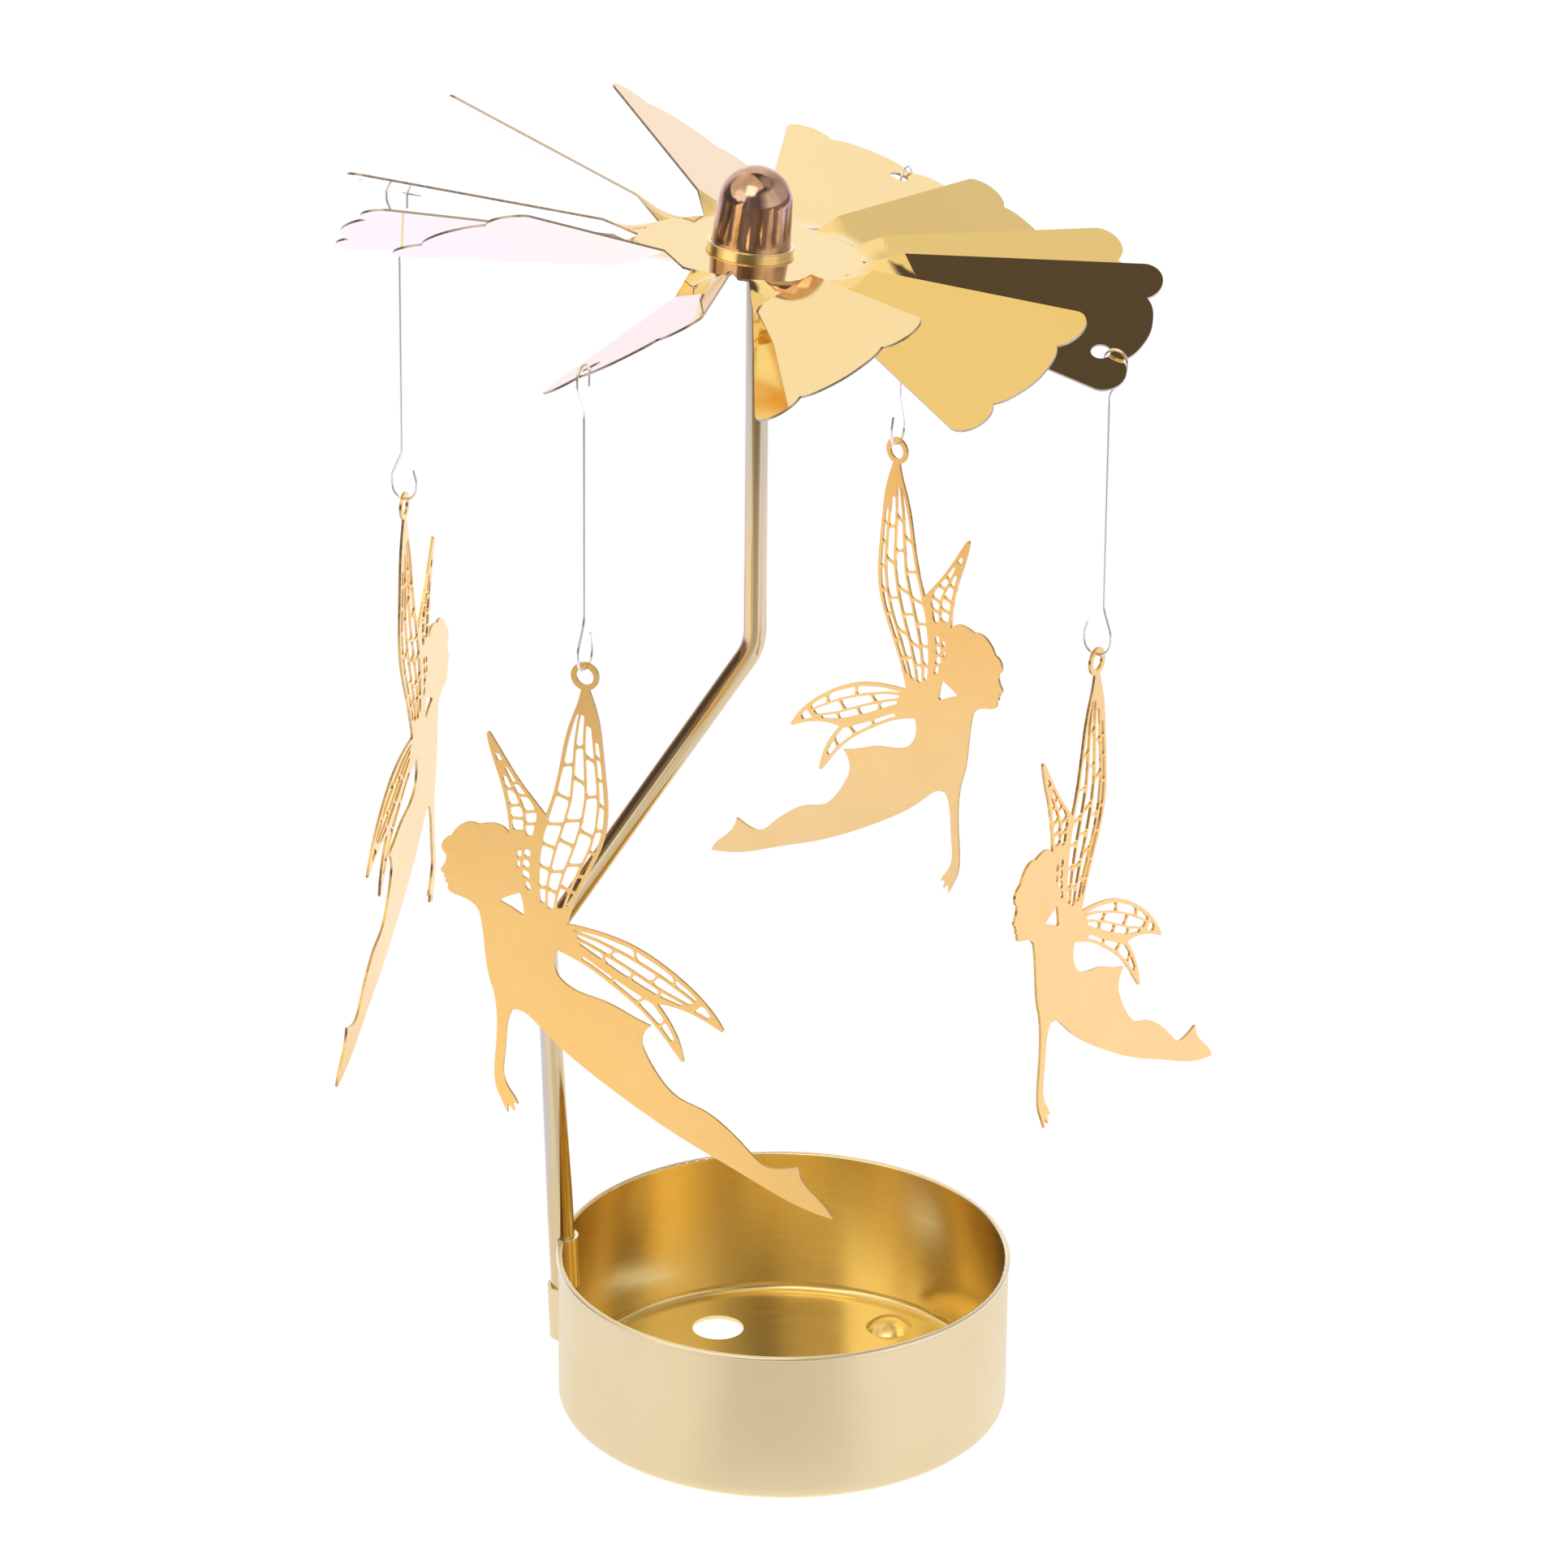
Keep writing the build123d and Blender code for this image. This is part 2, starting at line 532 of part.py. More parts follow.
FIG_EDGES = [
    # tall wing, front edge
    [(0.55, -1.766), (1.0, -3.5), (1.95, -5.9), (2.9, -9.0), (3.7, -12.8), (4.6, -16.4), (5.7, -19.4)],
    # short wing
    [(5.7, -19.4), (7.1, -17.7), (9.2, -15.0), (11.0, -12.2), (12.7, -9.4)],
    [(12.7, -9.4), (13.1, -9.15), (13.25, -9.6)],
    [(13.25, -9.6), (12.6, -12.4), (11.6, -15.6), (10.9, -18.8), (10.6, -22.6)],
    # wavy hair, fringe and a plain profile
    [(10.6, -22.6), (11.5, -21.75), (12.9, -21.5), (14.1, -21.75), (14.7, -21.95)],
    [(14.7, -21.95), (15.8, -21.75), (17.1, -22.3), (18.0, -23.2), (18.45, -24.0)],
    [(18.45, -24.0), (19.15, -24.35), (19.65, -25.0), (19.75, -25.9), (19.3, -26.45)],
    [(19.3, -26.45), (19.2, -26.95), (19.3, -27.5), (19.62, -28.15), (19.98, -28.75), (19.9, -29.08), (19.42, -29.22)],
    [(19.42, -29.22), (19.58, -29.52), (19.5, -29.75), (19.28, -29.88)],
    [(19.28, -29.88), (19.45, -30.12), (19.35, -30.42), (19.1, -30.62), (19.12, -31.05), (18.85, -31.6), (18.1, -31.95),
     (16.9, -32.25), (15.8, -32.8), (14.95, -33.8)],
    # chest to shoulder
    [(14.95, -33.8), (14.55, -36.3), (14.3, -39.4), (14.0, -42.0), (13.4, -44.2)],
    # hanging arm
    [(13.4, -44.2), (13.05, -46.2), (12.95, -49.0), (13.2, -52.4), (13.5, -55.6), (13.4, -57.4), (12.8, -59.2)],
    [(12.8, -59.2), (11.85, -61.3)],
    [(11.85, -61.3), (11.75, -60.0)],
    [(11.75, -60.0), (10.9, -61.0)],
    [(10.9, -61.0), (11.15, -59.7)],
    [(11.15, -59.7), (10.4, -59.9)],
    [(10.4, -59.9), (10.8, -59.1), (11.6, -57.9), (12.2, -56.4), (12.15, -54.0), (11.8, -51.0), (11.45, -48.4), (10.7, -46.75)],
    # belly and front of the legs
    [(10.7, -46.75), (9.3, -46.9), (7.5, -48.3), (4.8, -50.8), (1.5, -53.3), (-1.8, -55.5), (-6.0, -58.1), (-9.5, -60.1),
     (-13.2, -62.0), (-17.6, -64.0), (-22.0, -66.1), (-26.3, -68.0), (-29.2, -68.9), (-31.7, -69.4)],
    # foot and back of the legs
    [(-31.7, -69.4), (-30.3, -67.4), (-28.6, -65.8), (-27.6, -64.5), (-27.1, -63.0)],
    [(-27.1, -63.0), (-25.3, -63.5), (-23.2, -63.6), (-20.4, -61.5), (-17.2, -58.6), (-14.4, -56.9), (-11.4, -55.8), (-8.8, -53.3), (-7.0, -50.2)],
    # skirt
    [(-7.0, -50.2), (-6.6, -48.2), (-7.8, -46.3)],
    [(-7.8, -46.3), (-4.9, -45.2), (-1.8, -43.9), (1.3, -43.2), (3.4, -42.3), (4.7, -40.9), (5.1, -39.2), (4.8, -37.6)],
    # lower wings
    [(4.8, -37.6), (2.8, -38.3), (0.1, -39.6), (-2.8, -41.5), (-5.8, -43.7), (-8.4, -46.2), (-10.3, -48.6), (-11.8, -50.6)],
    [(-11.8, -50.6), (-12.1, -50.6), (-12.1, -50.2)],
    [(-12.1, -50.2), (-11.4, -47.6), (-10.2, -45.2), (-8.7, -43.1)],
    [(-8.7, -43.1), (-11.0, -43.25), (-14.0, -44.1), (-17.2, -45.7)],
    [(-17.2, -45.7), (-17.5, -45.65), (-17.45, -45.3)],
    [(-17.45, -45.3), (-15.8, -42.9), (-13.3, -40.4), (-9.8, -37.8), (-5.6, -35.6), (-1.2, -34.4), (3.1, -33.9)],
    # tall wing, back edge
    [(3.1, -33.9), (1.9, -30.4), (0.2, -26.8), (-1.5, -23.3), (-2.4, -20.3), (-2.65, -17.2), (-2.45, -13.4), (-2.15, -9.4),
     (-1.75, -5.9), (-1.1, -3.4), (-0.55, -1.766)],
]

NECK_GAP = [(9.35, -30.5), (10.6, -31.0), (12.0, -31.75), (12.1, -32.0), (10.6, -32.7), (9.1, -33.5), (8.85, -33.3), (9.0, -31.8)]

TALL_BACK = [(-1.15, -3.6), (-1.75, -5.9), (-2.15, -9.4), (-2.45, -13.4), (-2.65, -17.2), (-2.4, -20.3), (-1.5, -23.3),
             (0.2, -26.8), (1.9, -30.4), (2.9, -33.0)]
TALL_FRONT = [(1.0, -3.6), (1.95, -5.9), (2.9, -9.0), (3.7, -12.8), (4.6, -16.4), (5.7, -19.6), (6.6, -22.6),
              (7.15, -26.0), (7.3, -29.5), (7.0, -32.6)]
SHORT_BACK = [(12.3, -10.1), (11.0, -12.2), (9.2, -15.0), (7.1, -17.7), (6.3, -19.4), (6.9, -22.0), (7.4, -23.8)]
SHORT_FRONT = [(13.1, -10.4), (12.6, -12.4), (11.6, -15.6), (10.9, -18.8), (10.75, -20.6), (10.5, -22.2), (9.4, -23.8)]
LOW1_TOP = [(2.3, -34.1), (-1.2, -34.4), (-5.6, -35.6), (-9.8, -37.8), (-13.3, -40.4), (-15.8, -42.9), (-17.1, -44.9)]
LOW1_BOT = [(2.9, -36.2), (0.0, -37.9), (-3.6, -40.0), (-8.4, -42.4), (-11.0, -43.2), (-14.0, -44.1), (-16.7, -45.4)]
LOW2_TOP = [(2.2, -36.9), (0.0, -38.1), (-3.6, -40.3), (-8.5, -42.9), (-10.2, -45.2), (-11.4, -47.6), (-12.0, -49.7)]
LOW2_BOT = [(2.8, -38.3), (0.1, -39.6), (-2.8, -41.5), (-5.8, -43.7), (-8.4, -46.2), (-10.3, -48.6), (-11.6, -50.2)]


# small openings between the wings' roots and the hair
BASAL = [
    [(7.75, -24.5), (8.55, -24.35), (8.75, -25.35), (7.95, -25.6)],
    [(8.95, -24.6), (9.75, -24.9), (9.6, -25.75), (9.1, -25.6)],
    [(7.95, -26.0), (8.8, -25.75), (8.95, -26.8), (8.05, -27.1)],
    [(9.2, -26.05), (9.75, -26.2), (9.7, -27.1), (9.3, -27.1)],
    [(8.05, -27.5), (9.0, -27.2), (9.05, -28.2), (8.0, -28.6)],
    [(7.95, -29.0), (8.75, -28.7), (8.6, -29.75), (7.85, -30.1)],
]


def figure_openings():
    out = cells(
        TALL_BACK, TALL_FRONT,
        [[(0, 0.30), (0.12, 0.25), (0.4, 0.17), (0.7, 0.17), (1, 0.24)],
         [(0, 0.5), (0.15, 0.5), (0.4, 0.41), (0.7, 0.42), (1, 0.5)],
         [(0, 0.75), (0.2, 0.72), (0.45, 0.67), (0.7, 0.70), (1, 0.74)]],
        [(0, 1, [(0.17, 0.165), (0.25, 0.24), (0.33, 0.345), (0.46, 0.45), (0.555, 0.57), (0.68, 0.67),
                 (0.79, 0.80), (0.885, 0.875), (0.955, 0.955)]),
         (1, 2, [(0.105, 0.095), (0.26, 0.245), (0.41, 0.43), (0.60, 0.585), (0.74, 0.76), (0.875, 0.865),
                 (0.975, 0.975)]),
         (2, 3, [(0.055, 0.05), (0.20, 0.215), (0.37, 0.35), (0.535, 0.56), (0.665, 0.65), (0.79, 0.81),
                 (0.90, 0.89), (0.985, 0.985)]),
         (3, 4, [(0.05, 0.045), (0.29, 0.31), (0.455, 0.44), (0.575, 0.595), (0.695, 0.685), (0.80, 0.79),
                 (0.885, 0.895), (0.965, 0.965)])])
    out += cells(
        SHORT_BACK, SHORT_FRONT,
        [[(0, 0.5), (0.4, 0.52), (1, 0.46)]],
        [(0, 2, [(0.12, 0.10), (0.20, 0.21)]),
         (0, 1, [(0.235, 0.25), (0.40, 0.42), (0.54, 0.53), (0.68, 0.69), (0.80, 0.80), (0.93, 0.92)]),
         (1, 2, [(0.33, 0.31), (0.47, 0.46), (0.62, 0.63), (0.75, 0.74), (0.87, 0.87)])])
    out += cells(
        LOW1_TOP, LOW1_BOT,
        [[(0, 0.33), (0.3, 0.36), (0.6, 0.34), (1, 0.4)],
         [(0, 0.64), (0.3, 0.66), (0.6, 0.70), (1, 0.7)]],
        [(0, 1, [(0.0, 0.0), (0.36, 0.40), (0.63, 0.655), (0.80, 0.82)]),
         (1, 2, [(0.03, 0.03), (0.27, 0.25), (0.55, 0.53), (0.81, 0.79)]),
         (2, 3, [(0.06, 0.05), (0.22, 0.24), (0.42, 0.41), (0.60, 0.61), (0.76, 0.75)]),
         (0, 3, [(0.845, 0.815), (0.93, 0.925)])])
    out += cells(
        LOW2_TOP, LOW2_BOT, [],
        [(0, 1, [(0.07, 0.06), (0.30, 0.33), (0.55, 0.53), (0.74, 0.755), (0.89, 0.885)])])
    return out + [soften(c, 0.3) for c in BASAL]


def figure_face():
    edges = [Edge.make_three_point_arc((-0.55, -1.766, 0), (0, RING_R, 0), (0.55, -1.766, 0))]
    for seg in FIG_EDGES:
        pts = [(x, y, 0) for x, y in seg]
        edges.append(Edge.make_line(*pts) if len(pts) == 2 else Edge.make_spline(pts))
    outer = Wire(edges)
    inner = [Wire([Edge.make_circle(RING_HOLE_R)])]
    for poly in figure_openings() + [NECK_GAP]:
        inner.append(Wire.make_polygon([(x, y, 0) for x, y in poly], close=True))
    return Face(outer, inner)


def make_figures():
    face = figure_face()
    blank = Solid.extrude(face.moved(Pos(0, 0, -FIG_T / 2)), (0, 0, FIG_T))
    com = blank.center(CenterOf.MASS)
    # the figure hangs with its weight about straight below the wire in its ring
    pin = RING_HOLE_R - WIRE_R - 0.05
    turn = 0.6 * math.degrees(math.atan2(com.X, -(com.Y - pin)))
    print("figure area", round(face.area, 1), "centre of mass", round(com.X, 2),
          round(com.Y, 2), "turn", round(turn, 2), "valid", blank.is_valid)
    out = {}
    for name in HANGERS:
        g = hanger(name)
        h = math.radians(g["heading"])
        fwd = (math.cos(h), math.sin(h), 0)
        pl = Plane(origin=g["wire"], x_dir=fwd, z_dir=(math.sin(h), -math.cos(h), 0))
        out[name] = blank.moved(pl.location * Rot(0, 0, -turn) * Pos(0, -pin, 0))
    return out


# ================================================================ write
def main():
    os.makedirs("parts", exist_ok=True)
    parts = {
        "cup": make_cup(),
        "post": make_post(),
        "pinwheel": make_wheel(),
        "bearing_cap": make_cap(),
        "hub_eyelet": make_eyelet(),
    }
    for name in HANGERS:
        parts["hook_" + name] = make_hook(name)
    for name, solid in make_figures().items():
        parts["fairy_" + name] = solid
    for name, solid in parts.items():
        export_step(solid, f"parts/{name}.step")
        bb = solid.bounding_box()
        print(name, "valid", solid.is_valid, "volume", round(solid.volume, 2),
              "box", [round(c, 2) for c in (bb.min.X, bb.min.Y, bb.min.Z, bb.max.X, bb.max.Y, bb.max.Z)])
    print("wheel plane", [round(c, 3) for c in WHEEL_O], "axis", [round(c, 4) for c in WHEEL_N])
    for name in HANGERS:
        g = hanger(name)
        print("hanger", name, {k: ([round(c, 3) for c in v] if isinstance(v, tuple) else v)
                               for k, v in g.items()})


main()
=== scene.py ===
import bpy
import math
from mathutils import Vector, Matrix
from mathutils.bvhtree import BVHTree

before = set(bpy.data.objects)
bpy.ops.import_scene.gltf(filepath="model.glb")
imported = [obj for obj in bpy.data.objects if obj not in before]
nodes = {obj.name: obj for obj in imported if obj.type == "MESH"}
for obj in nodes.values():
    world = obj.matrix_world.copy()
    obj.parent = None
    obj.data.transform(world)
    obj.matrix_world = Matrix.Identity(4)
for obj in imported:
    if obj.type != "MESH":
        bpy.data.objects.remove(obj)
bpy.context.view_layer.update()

MM = 0.001
scene = bpy.context.scene

# ------------------------------------------------------------------ camera
IMG = 1932.0
FOCAL_PX = 10000.0
CAM_AT = Vector((-0.5545, -963.492, 517.178)) * MM
CAM_FW = Vector((0.0, 0.9140417, -0.40562023))
CAM_RT = Vector((0.99994876, 0.00410599, 0.0092526))
CAM_UP = Vector((-0.01012274, 0.40559945, 0.91399487))

cam_data = bpy.data.cameras.new("view_camera")
cam_data.sensor_fit = "HORIZONTAL"
cam_data.sensor_width = 36.0
cam_data.lens = 36.0 * FOCAL_PX / IMG
cam_data.clip_start = 0.01
cam_data.clip_end = 60.0
cam = bpy.data.objects.new("view_camera", cam_data)
scene.collection.objects.link(cam)
rot = Matrix((CAM_RT, CAM_UP, -CAM_FW)).transposed()
cam.matrix_world = Matrix.Translation(CAM_AT) @ rot.to_4x4()
scene.camera = cam

scene.view_settings.view_transform = "Standard"
scene.view_settings.look = "None"


# ------------------------------------------------------------------ node helpers
class Tree:
    """Small helper for writing shader trees."""

    def __init__(self, tree):
        self.t = tree
        self.t.nodes.clear()
        self.x = 0

    def add(self, kind, **props):
        n = self.t.nodes.new(kind)
        self.x += 180
        n.location = (self.x, 0)
        for k, v in props.items():
            setattr(n, k, v)
        return n

    def link(self, a, b):
        self.t.links.new(a, b)

    def put(self, socket, value):
        """Link an output socket, or set a plain value."""
        if isinstance(value, bpy.types.NodeSocket):
            self.link(value, socket)
        else:
            socket.default_value = value

    def math(self, op, a, b=None, c=None, clamp=False):
        n = self.add("ShaderNodeMath", operation=op, use_clamp=clamp)
        for s, v in zip(n.inputs, (a, b, c)):
            if v is not None:
                self.put(s, v)
        return n.outputs[0]

    def noise(self, vec, scale, detail=2.0, rough=0.5, distortion=0.0):
        n = self.add("ShaderNodeTexNoise")
        self.link(vec, n.inputs["Vector"])
        n.inputs["Scale"].default_value = scale
        n.inputs["Detail"].default_value = detail
        n.inputs["Roughness"].default_value = rough
        n.inputs["Distortion"].default_value = distortion
        return n.outputs["Fac"]

    def stretch(self, vec, scale, rotation=(0, 0, 0), location=(0, 0, 0)):
        n = self.add("ShaderNodeMapping")
        self.link(vec, n.inputs["Vector"])
        n.inputs["Scale"].default_value = scale
        n.inputs["Rotation"].default_value = rotation
        n.inputs["Location"].default_value = location
        return n.outputs["Vector"]

    def ramp(self, fac, stops, interpolation="LINEAR"):
        n = self.add("ShaderNodeValToRGB")
        self.put(n.inputs["Fac"], fac)
        cr = n.color_ramp
        cr.interpolation = interpolation
        while len(cr.elements) < len(stops):
            cr.elements.new(0.5)
        for e, (p, c) in zip(cr.elements, stops):
            e.position = p
            e.color = (*c, 1.0) if len(c) == 3 else c
        return n.outputs["Color"]

    def remap(self, v, a, b, c, d, smooth=False):
        n = self.add("ShaderNodeMapRange")
        n.interpolation_type = "SMOOTHSTEP" if smooth else "LINEAR"
        n.clamp = True
        self.put(n.inputs["Value"], v)
        n.inputs["From Min"].default_value = a
        n.inputs["From Max"].default_value = b
        n.inputs["To Min"].default_value = c
        n.inputs["To Max"].default_value = d
        return n.outputs["Result"]

    def mix(self, fac, a, b):
        n = self.add("ShaderNodeMix", data_type="RGBA", blend_type="MIX")
        self.put(n.inputs[0], fac)
        self.put(n.inputs[6], a if isinstance(a, bpy.types.NodeSocket) else (*a, 1.0))
        self.put(n.inputs[7], b if isinstance(b, bpy.types.NodeSocket) else (*b, 1.0))
        return n.outputs[2]

    def bump(self, height, strength, distance, normal=None):
        n = self.add("ShaderNodeBump")
        self.link(height, n.inputs["Height"])
        n.inputs["Strength"].default_value = strength
        n.inputs["Distance"].default_value = distance
        if normal is not None:
            self.link(normal, n.inputs["Normal"])
        return n.outputs["Normal"]

    def obj(self):
        return self.add("ShaderNodeTexCoord").outputs["Object"]

    def xyz(self, vec):
        n = self.add("ShaderNodeSeparateXYZ")
        self.link(vec, n.inputs[0])
        return n.outputs[0], n.outputs[1], n.outputs[2]

    def vec(self, x, y, z):
        n = self.add("ShaderNodeCombineXYZ")
        for s, v in zip(n.inputs, (x, y, z)):
            self.put(s, v)
        return n.outputs[0]

    def metal(self, color, rough, normal=None, aniso=0.0, tangent=None, tint=None):
        b = self.add("ShaderNodeBsdfPrincipled")
        b.inputs["Metallic"].default_value = 1.0
        self.put(b.inputs["Base Color"], color if isinstance(color, bpy.types.NodeSocket) else (*color, 1.0))
        self.put(b.inputs["Roughness"], rough)
        if normal is not None:
            self.link(normal, b.inputs["Normal"])
        if aniso:
            b.inputs["Anisotropic"].default_value = aniso
            if tangent is not None:
                self.link(tangent, b.inputs["Tangent"])
        if tint is not None:
            b.inputs["Specular Tint"].default_value = (*tint, 1.0)
        out = self.add("ShaderNodeOutputMaterial")
        self.link(b.outputs[0], out.inputs["Surface"])
        return b


def material(name):
    m = bpy.data.materials.new(name)
    m.use_nodes = True
    return m, Tree(m.node_tree)


# ------------------------------------------------------------------ materials
def wheel_gold():
    """Mirror-polished gold sheet: slightly wavy, with faint hairlines."""
    m, t = material("wheel_gold")
    p = t.obj()
    wave = t.noise(p, 34.0, 1.0, 0.4)
    hair = t.noise(t.stretch(p, (60.0, 900.0, 60.0), rotation=(0.2, 0.1, 0.5)), 6.0, 3.0, 0.6)
    n1 = t.bump(wave, 0.35, 0.00012)
    n2 = t.bump(hair, 0.04, 0.00001, n1)
    tone = t.noise(p, 22.0, 2.0, 0.5)
    col = t.mix(t.remap(tone, 0.3, 0.7, 0.0, 1.0), (0.93, 0.70, 0.305), (0.95, 0.73, 0.335))
    rough = t.remap(hair, 0.35, 0.75, 0.035, 0.075)
    t.metal(col, rough, n2)
    return m


def cut_edge():
    """Sheared edge of the sheet: duller and darker, with a fine burr."""
    m, t = material("cut_edge")
    p = t.obj()
    n = t.noise(p, 1800.0, 3.0, 0.6)
    col = t.mix(t.remap(n, 0.3, 0.7, 0.0, 1.0), (0.48, 0.41, 0.33), (0.64, 0.56, 0.46))
    t.metal(col, t.remap(n, 0.3, 0.7, 0.28, 0.45), t.bump(n, 0.25, 0.00003))
    return m


def figure_gold():
    """Satin gold sheet with a few handling marks."""
    m, t = material("figure_gold")
    p = t.obj()
    tone = t.noise(p, 60.0, 3.0, 0.55)
    col = t.mix(t.remap(tone, 0.3, 0.7, 0.0, 1.0), (0.935, 0.60, 0.205), (0.965, 0.64, 0.235))
    marks = t.noise(t.stretch(p, (260.0, 260.0, 1500.0), rotation=(0.3, 0.2, 0.0)), 1.0, 2.0, 0.5)
    marks = t.remap(marks, 0.755, 0.80, 0.0, 1.0, True)
    col = t.mix(marks, col, (0.62, 0.38, 0.12))
    grain = t.noise(p, 900.0, 2.0, 0.5)
    t.metal(col, t.remap(grain, 0.3, 0.7, 0.275, 0.305), t.bump(grain, 0.004, 0.00002))
    return m


def figure_edge():
    m, t = material("figure_edge")
    p = t.obj()
    n = t.noise(p, 1500.0, 3.0, 0.6)
    col = t.mix(t.remap(n, 0.3, 0.7, 0.0, 1.0), (0.55, 0.36, 0.13), (0.80, 0.56, 0.24))
    t.metal(col, t.remap(n, 0.3, 0.7, 0.2, 0.4), t.bump(n, 0.2, 0.00003))
    return m


def cup_gold():
    """Satin cup: pale champagne outside, warmer and brushed inside."""
    m, t = material("cup_gold")
    p = t.obj()
    x, y, z = t.xyz(p)
    r = t.math("SQRT", t.math("ADD", t.math("MULTIPLY", x, x), t.math("MULTIPLY", y, y)))
    outside = t.remap(r, 0.02968, 0.02985, 0.0, 1.0)
    ang = t.math("ARCTAN2", y, x)
    # fine marks round the wall from drawing and polishing
    cyl = t.vec(t.math("MULTIPLY", ang, 0.0016), z, t.math("MULTIPLY", r, 0.4))
    brush = t.noise(cyl, 2600.0, 3.0, 0.6)
    cloud = t.noise(p, 45.0, 3.0, 0.55)
    pale = t.mix(t.remap(cloud, 0.3, 0.7, 0.0, 1.0), (0.82, 0.675, 0.41), (0.86, 0.72, 0.455))
    warm = t.mix(t.remap(cloud, 0.3, 0.7, 0.0, 1.0), (0.92, 0.738, 0.345), (0.95, 0.778, 0.39))
    col = t.mix(outside, warm, pale)
    # the top of the rolled rim is painted lighter: a painted highlight standing in for the bright reflection along
    # the rim
    col = t.mix(t.remap(z, 0.0209, 0.0211, 0.0, 1.0), col, (0.97, 0.88, 0.68))
    rough = t.math("ADD", t.remap(brush, 0.3, 0.7, 0.21, 0.27), t.math("MULTIPLY", outside, 0.10))
    round_z = t.add("ShaderNodeTangent", direction_type="RADIAL", axis="Z").outputs[0]
    b = t.metal(col, rough, t.bump(brush, 0.035, 0.00001), aniso=0.55, tangent=round_z)
    b.inputs["Anisotropic Rotation"].default_value = 0.25
    return m


def rod_gold():
    """Drawn rod: polished, with faint lines along its length."""
    m, t = material("rod_gold")
    p = t.obj()
    lines = t.noise(t.stretch(p, (1.0, 1.0, 0.02)), 2500.0, 2.0, 0.5)
    tone = t.noise(p, 70.0, 3.0, 0.55)
    col = t.mix(t.remap(tone, 0.3, 0.7, 0.0, 1.0), (0.68, 0.55, 0.325), (0.72, 0.58, 0.355))
    t.metal(col, t.remap(lines, 0.3, 0.7, 0.07, 0.14), t.bump(lines, 0.05, 0.00001))
    return m


def dome_copper():
    """Rose-copper dome, drawn and polished, with fine marks down its side."""
    m, t = material("dome_copper")
    p = t.obj()
    lines = t.noise(t.stretch(p, (1.0, 1.0, 0.06)), 1500.0, 3.0, 0.6)
    blot = t.noise(p, 420.0, 4.0, 0.6)
    col = t.mix(t.remap(blot, 0.35, 0.7, 0.0, 1.0), (0.76, 0.50, 0.39), (0.50, 0.325, 0.26))
    nrm = t.bump(lines, 0.05, 0.00001, t.bump(blot, 0.24, 0.00004))
    t.metal(col, t.remap(blot, 0.3, 0.7, 0.09, 0.16), nrm)
    return m


def eyelet_gold():
    m, t = material("eyelet_gold")
    p = t.obj()
    tone = t.noise(p, 300.0, 3.0, 0.55)
    col = t.mix(t.remap(tone, 0.3, 0.7, 0.0, 1.0), (0.96, 0.81, 0.50), (0.98, 0.84, 0.55))
    t.metal(col, t.remap(tone, 0.3, 0.7, 0.14, 0.20), t.bump(tone, 0.01, 0.00002))
    return m


def hook_wire():
    """Bright drawn wire, silvery with a warm cast."""
    m, t = material("hook_wire")
    p = t.obj()
    lines = t.noise(t.stretch(p, (1.0, 1.0, 0.05)), 3000.0, 2.0, 0.5)
    tone = t.noise(p, 160.0, 2.0, 0.5)
    col = t.mix(t.remap(tone, 0.35, 0.65, 0.0, 1.0), (0.97, 0.945, 0.875), (0.99, 0.965, 0.90))
    t.metal(col, t.remap(lines, 0.3, 0.7, 0.22, 0.32), t.bump(lines, 0.05, 0.00001))
    return m


def split_edges(obj, face_mat, edge_mat, thick):
    """Give the sheet's faces one material and its cut edges another: a face lies
    within a sheet's thickness of the far side, an edge does not."""
    me = obj.data
    me.materials.clear()
    me.materials.append(face_mat)
    me.materials.append(edge_mat)
    verts = [v.co.copy() for v in me.vertices]
    tree = BVHTree.FromPolygons(verts, [list(p.vertices) for p in me.polygons])
    for p in me.polygons:
        n = p.normal
        hit = tree.ray_cast(p.center - n * 2e-6, -n, 0.02)
        gap = hit[3] if hit[0] is not None else 1.0
        p.material_index = 0 if gap < thick * 1.25 else 1


def dress(obj, mat):
    obj.data.materials.clear()
    obj.data.materials.append(mat)


M_EDGE = cut_edge()
M_FIG, M_FIG_EDGE = figure_gold(), figure_edge()
M_WIRE = hook_wire()
split_edges(nodes["pinwheel"], wheel_gold(), M_EDGE, 0.3 * MM)
dress(nodes["cup"], cup_gold())
dress(nodes["post"], rod_gold())
dress(nodes["bearing_cap"], dome_copper())
dress(nodes["hub_eyelet"], eyelet_gold())
for side in ("left", "front", "back", "right"):
    dress(nodes["hook_" + side], M_WIRE)
    split_edges(nodes["fairy_" + side], M_FIG, M_FIG_EDGE, 0.35 * MM)


# ------------------------------------------------------------------ surroundings
def sheet_of(name, verts, faces, mat):
    """A sheet of the surroundings, in millimetres."""
    me = bpy.data.meshes.new(name)
    me.from_pydata([tuple(c * MM for c in p) for p in verts], [], faces)
    me.materials.append(mat)
    o = bpy.data.objects.new(name, me)
    scene.collection.objects.link(o)
    return o


def turn(t, x, y):
    """Direction round the object as a fraction: 0 at -X, 0.25 at -Y, 0.5 at +X."""
    return t.math("ADD", t.math("DIVIDE", t.math("ARCTAN2", y, x), 2 * math.pi), 0.5)


def by_heading(pairs):
    """Stops of a ramp round the object, from (heading in degrees, grey or colour)."""
    return [((h + 180.0) / 360.0, (v, v, v) if isinstance(v, (int, float)) else v) for h, v in pairs]


def plain_white():
    """Overlit white sweep."""
    m, t = material("plain_white")
    em = t.add("ShaderNodeEmission")
    em.inputs["Color"].default_value = (1.0, 1.0, 1.0, 1.0)
    em.inputs["Strength"].default_value = 1.02
    out = t.add("ShaderNodeOutputMaterial")
    t.link(em.outputs[0], out.inputs["Surface"])
    return m


